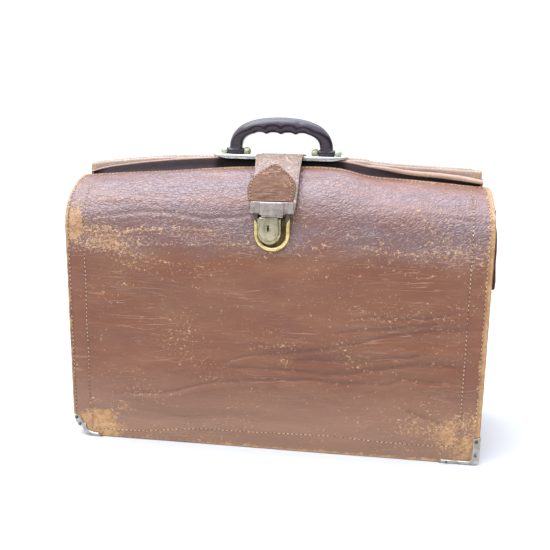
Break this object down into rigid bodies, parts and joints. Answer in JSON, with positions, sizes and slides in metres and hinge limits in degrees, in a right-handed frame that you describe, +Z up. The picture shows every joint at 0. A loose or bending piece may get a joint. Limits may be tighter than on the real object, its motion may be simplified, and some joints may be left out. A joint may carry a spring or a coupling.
{
  "type": "doctor bag",
  "caption": "Frame-top leather doctor's bag with hinged jaws, flat front pocket, moulded carrying handle, strap with hasp and slide lock, and metal corner brackets.",
  "frame": {"origin": "centre of the underside of the base, on the surface the bag stands on", "axes": "+X to the viewer's right along the bag's length, +Y from the front with the lock to the back, +Z up"},
  "size_m": [0.4572, 0.1638, 0.3446],
  "materials": {
    "leather": "worn, pebble grained",
    "dark_leather": "worn, wrinkled",
    "nickel": "aged nickel plate",
    "brass": "polished, tarnished",
    "steel": "plain",
    "plastic": "glossy, near black",
    "board": "fibre board"
  },
  "bodies": {
    "tub": {"front_panel": "leather", "back_panel": "leather", "pocket_back": "dark_leather", "right_gusset": "leather", "left_gusset": "leather", "bottom_panel": "leather", "base_board": "board", "corner_bracket_front_right": "nickel", "corner_bracket_front_left": "nickel", "corner_bracket_back_left": "nickel", "corner_bracket_back_right": "nickel", "corner_rivet_front_right_1": "nickel", "corner_rivet_front_right_2": "nickel", "corner_rivet_front_right_3": "nickel", "corner_rivet_front_left_1": "nickel", "corner_rivet_front_left_2": "nickel", "corner_rivet_front_left_3": "nickel", "corner_rivet_back_left_1": "nickel", "corner_rivet_back_left_2": "nickel", "corner_rivet_back_left_3": "nickel", "corner_rivet_back_right_1": "nickel", "corner_rivet_back_right_2": "nickel", "corner_rivet_back_right_3": "nickel", "hinge_pin_right": "steel", "hinge_pin_left": "steel", "side_tab_right": "leather", "side_tab_left": "leather", "tab_rivet_right_front": "nickel", "tab_rivet_left_front": "nickel", "tab_rivet_right_back": "nickel", "tab_rivet_left_back": "nickel", "lock_plate": "brass", "lock_body": "nickel", "lock_back_plate": "steel"},
    "front_jaw": {"front_shoulder": "leather", "front_jaw_leather": "dark_leather", "front_roll": "leather", "front_frame": "steel", "front_cheek_right": "leather", "front_cheek_left": "leather"},
    "back_jaw": {"back_cover": "leather", "back_frame": "steel", "back_shoulder": "leather", "back_cheek_right": "leather", "back_cheek_left": "leather", "handle_plate": "nickel", "handle_bracket_left": "nickel", "handle_bracket_right": "nickel", "handle_pin_left": "steel", "handle_pin_right": "steel", "strap_anchor": "leather"},
    "carry_handle": {"handle": "plastic"},
    "closing_strap": {"strap": "leather", "strap_patch": "dark_leather", "hasp": "nickel"},
    "lock_button": {"lock_slide": "nickel"}
  },
  "joints": [
    {"name": "front_jaw_hinge", "type": "hinge", "parent": "tub", "child": "front_jaw", "pos_m": [0, 0, 0.235], "axis": [1, 0, 0], "range_deg": [0, 50]},
    {"name": "back_jaw_hinge", "type": "hinge", "parent": "tub", "child": "back_jaw", "pos_m": [0, 0, 0.235], "axis": [-1, 0, 0], "range_deg": [0, 50]},
    {"name": "handle_hinge", "type": "hinge", "parent": "back_jaw", "child": "carry_handle", "pos_m": [0, 0, 0.308], "axis": [1, 0, 0], "range_deg": [-66, 20]},
    {"name": "strap_lift", "type": "hinge", "parent": "back_jaw", "child": "closing_strap", "pos_m": [0, -0.0192, 0.3076], "axis": [-1, 0, 0], "range_deg": [0, 90]},
    {"name": "lock_slide_travel", "type": "slide", "parent": "tub", "child": "lock_button", "axis": [0, 0, -1], "range_m": [0, 0.004], "stiffness_N_per_m": 150}
  ]
}
